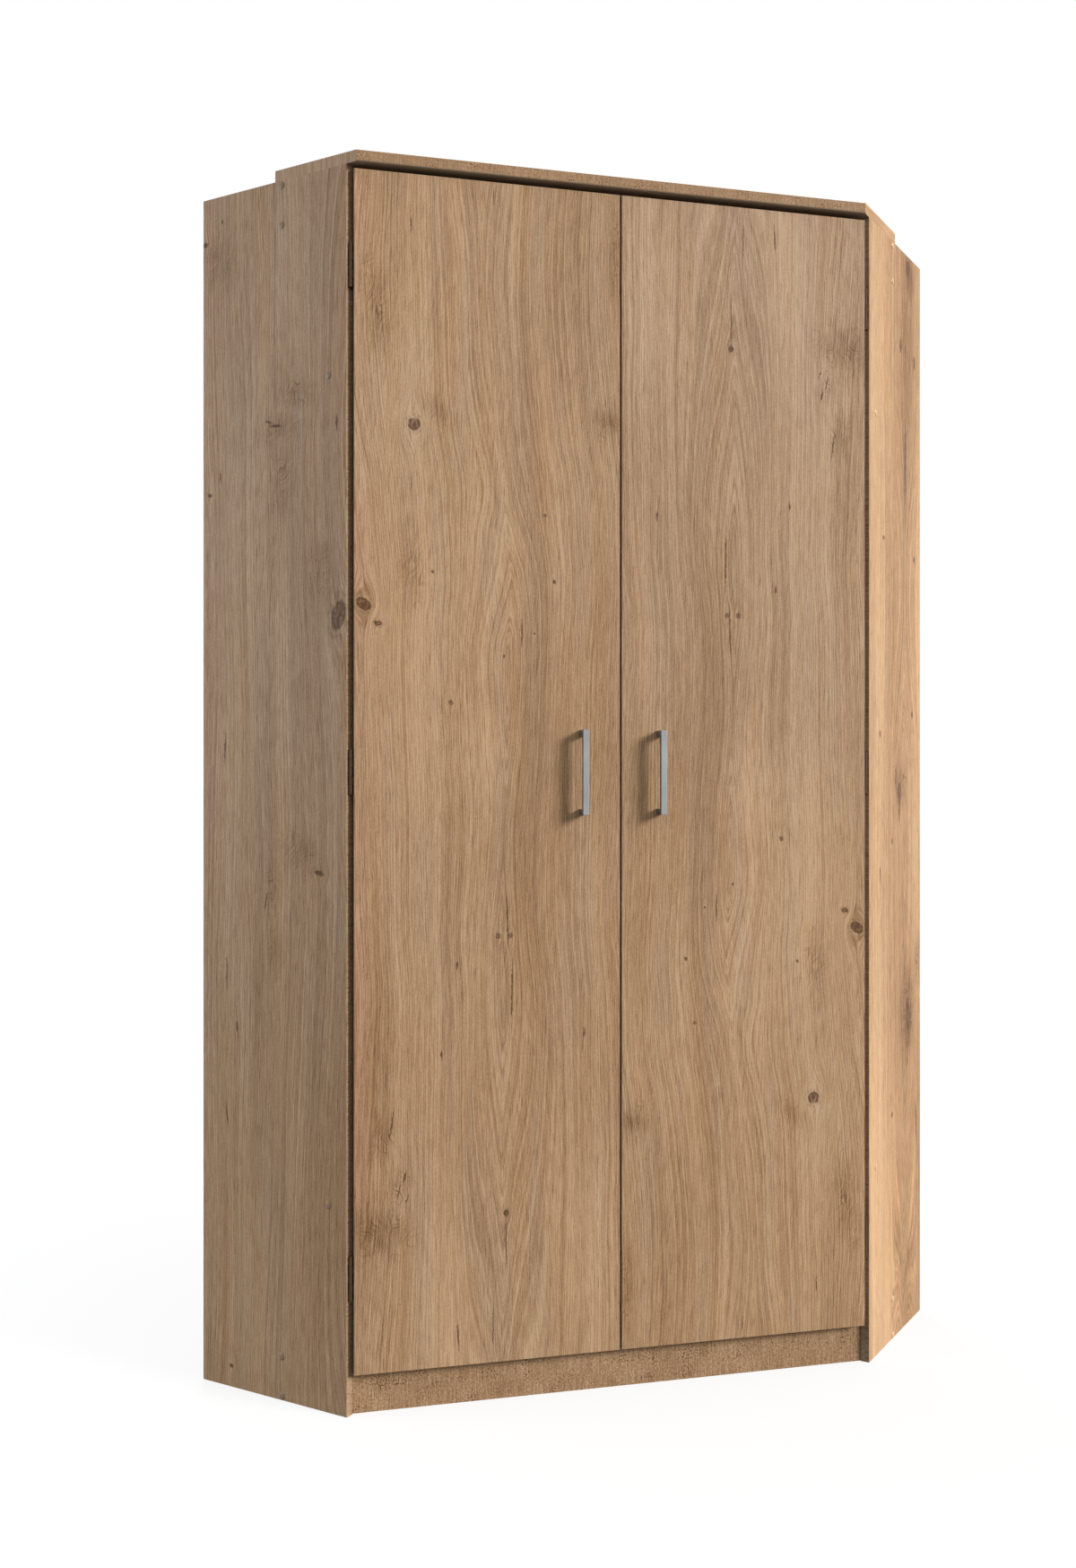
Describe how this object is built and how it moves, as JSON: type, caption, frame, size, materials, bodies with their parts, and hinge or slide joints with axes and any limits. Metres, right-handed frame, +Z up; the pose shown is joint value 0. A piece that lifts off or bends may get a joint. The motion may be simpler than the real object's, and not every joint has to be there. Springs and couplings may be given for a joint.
{
  "type": "corner wardrobe",
  "caption": "Tall five-sided corner wardrobe with a pair of hinged doors across the corner, bar handles, plinth and top trim; shelves and a clothes rail inside.",
  "frame": {"origin": "on the floor, under the middle of the box that encloses the closed wardrobe", "axes": "+Z up, doors face -Y, +X to the right seen from the front; the corner of the room is towards +Y"},
  "size_m": [1.3194, 0.8886, 1.98],
  "materials": {
    "oak_decor": "matt oak-look decor on chipboard, with grain, knots and cracks",
    "hardboard_back": "thin hardboard, lacquered inside, bare outside",
    "plain_pine": "planed softwood",
    "beech_dowel": "bare fluted hardwood",
    "oak_coloured_cap": "moulded plastic in the colour of the decor",
    "satin_grey_metal": "satin, fine brushing along the bar",
    "bronzed_steel": "dark bronzed steel",
    "chromed_steel": "bright plated tube",
    "black_plastic": "moulded",
    "brown_plastic": "moulded",
    "soft_buffer": "soft translucent pad",
    "zinc_plated_steel": "zinc plated"
  },
  "bodies": {
    "carcass": {"left_end_panel": "oak_decor", "right_end_panel": "oak_decor", "top_board": "oak_decor", "bottom_board": "oak_decor", "lower_shelf": "oak_decor", "hat_shelf": "oak_decor", "plinth_board": "oak_decor", "left_plinth_rail": "oak_decor", "right_plinth_rail": "oak_decor", "left_top_rail": "oak_decor", "right_top_rail": "oak_decor", "top_trim_board": "oak_decor", "left_back_panel": "hardboard_back", "right_back_panel": "hardboard_back", "rear_corner_post": "plain_pine", "corner_brackets": "zinc_plated_steel", "corner_bracket_screws": "zinc_plated_steel", "panel_screws": "zinc_plated_steel", "rail_corner_screws": "zinc_plated_steel", "trim_screws": "zinc_plated_steel", "left_cover_caps": "oak_coloured_cap", "right_cover_caps": "oak_coloured_cap", "dowels": "beech_dowel", "shelf_pins": "zinc_plated_steel", "back_panel_nails": "zinc_plated_steel", "clothes_rail": "chromed_steel", "rail_end_caps": "black_plastic", "left_rail_hanger": "chromed_steel", "right_rail_hanger": "chromed_steel", "rail_hanger_screws": "zinc_plated_steel", "left_magnet_catch": "brown_plastic", "right_magnet_catch": "brown_plastic", "magnet_catch_screws": "zinc_plated_steel", "left_lower_hinge_panel_leaf": "bronzed_steel", "right_lower_hinge_panel_leaf": "bronzed_steel", "left_middle_hinge_panel_leaf": "bronzed_steel", "right_middle_hinge_panel_leaf": "bronzed_steel", "left_upper_hinge_panel_leaf": "bronzed_steel", "right_upper_hinge_panel_leaf": "bronzed_steel", "left_hinge_pins": "bronzed_steel", "right_hinge_pins": "bronzed_steel", "hinge_panel_screws": "zinc_plated_steel"},
    "left_door": {"left_door": "oak_decor", "left_handle": "satin_grey_metal", "left_handle_screws": "zinc_plated_steel", "left_strike_plate": "zinc_plated_steel", "left_door_buffers": "soft_buffer", "left_lower_hinge_door_leaf": "bronzed_steel", "left_middle_hinge_door_leaf": "bronzed_steel", "left_upper_hinge_door_leaf": "bronzed_steel", "left_door_small_screws": "zinc_plated_steel"},
    "right_door": {"right_door": "oak_decor", "right_handle": "satin_grey_metal", "right_handle_screws": "zinc_plated_steel", "right_strike_plate": "zinc_plated_steel", "right_door_buffers": "soft_buffer", "right_lower_hinge_door_leaf": "bronzed_steel", "right_middle_hinge_door_leaf": "bronzed_steel", "right_upper_hinge_door_leaf": "bronzed_steel", "right_door_small_screws": "zinc_plated_steel"}
  },
  "joints": [
    {"name": "left_door_hinge", "type": "hinge", "parent": "carcass", "child": "left_door", "pos_m": [-0.44086, -0.41267, 1.0101], "axis": [0, 0, -1], "range_deg": [0, 95]},
    {"name": "right_door_hinge", "type": "hinge", "parent": "carcass", "child": "right_door", "pos_m": [0.44086, -0.41267, 1.0101], "axis": [0, 0, 1], "range_deg": [0, 95]}
  ]
}
